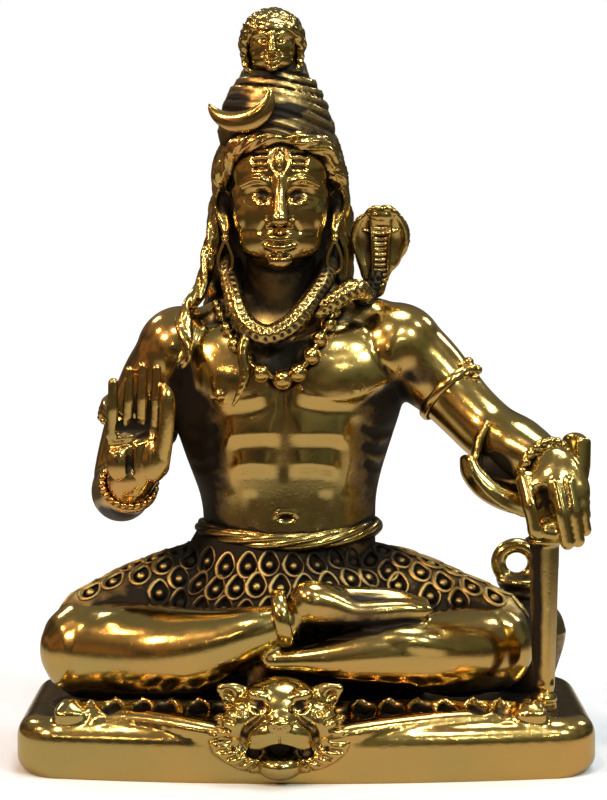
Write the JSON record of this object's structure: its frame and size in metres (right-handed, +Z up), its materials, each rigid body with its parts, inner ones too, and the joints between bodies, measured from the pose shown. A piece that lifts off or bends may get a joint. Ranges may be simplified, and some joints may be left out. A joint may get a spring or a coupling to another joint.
{
  "type": "shiva figure",
  "caption": "Cast brass figure of Shiva seated cross-legged on a tiger skin, one hand raised and one on an arm rest, with cobra, beads and water pot.",
  "frame": {"origin": "on the flat underside of the slab, at the middle of its outline", "axes": "+Z up through the figure, -Y out of its front, +X to the viewer's right"},
  "size_m": [0.0604, 0.037, 0.08],
  "materials": {
    "antique_brass": "polished antique gold with dark patina left in the recesses"
  },
  "bodies": {
    "root": {"shiva_figure": "antique_brass"}
  },
  "joints": []
}
